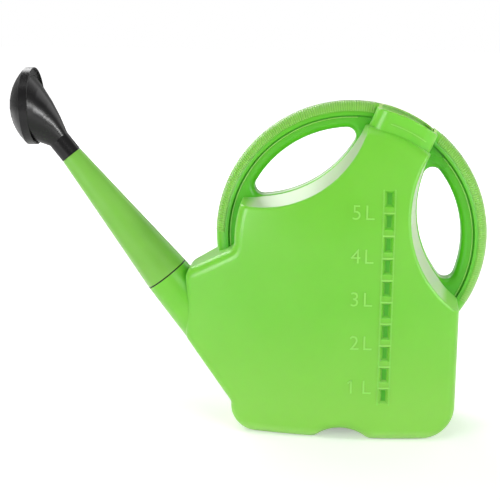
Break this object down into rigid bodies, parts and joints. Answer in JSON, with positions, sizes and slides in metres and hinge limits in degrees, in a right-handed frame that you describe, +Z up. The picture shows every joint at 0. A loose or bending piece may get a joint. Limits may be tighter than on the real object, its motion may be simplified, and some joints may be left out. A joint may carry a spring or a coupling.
{
  "type": "watering can",
  "caption": "Garden watering can: hollow moulded tank with a round two-grip handle ring, oval filler, plug-in tapered spout and a turning rose with a pull-off spray face.",
  "frame": {"origin": "on the ground, under the middle of the whole can", "axes": "+X to the rear, away from the spout; +Z up; -Y is the side with the litre scale"},
  "size_m": [0.4766, 0.114, 0.3596],
  "materials": {
    "green_polyethylene": "blow-moulded polyethylene, satin gloss",
    "green_tube": "moulded polyethylene, satin gloss",
    "black_plastic": "moulded polypropylene, satin"
  },
  "bodies": {
    "tank": {"tank": "green_polyethylene"},
    "spout": {"spout_tube": "green_tube"},
    "rose": {"rose_housing": "black_plastic"},
    "face": {"rose_face": "black_plastic"}
  },
  "joints": [
    {"name": "spout_pull", "type": "slide", "parent": "tank", "child": "spout", "axis": [-0.6246, 0, 0.781], "range_m": [0, 0.04]},
    {"name": "rose_turn", "type": "hinge", "parent": "spout", "child": "rose", "pos_m": [-0.08222, 0, 0.1521], "axis": [-0.6246, 0, 0.781], "continuous": true},
    {"name": "rose_face_pull", "type": "slide", "parent": "rose", "child": "face", "axis": [-0.9994, 0, -0.0349], "range_m": [0, 0.02]}
  ]
}
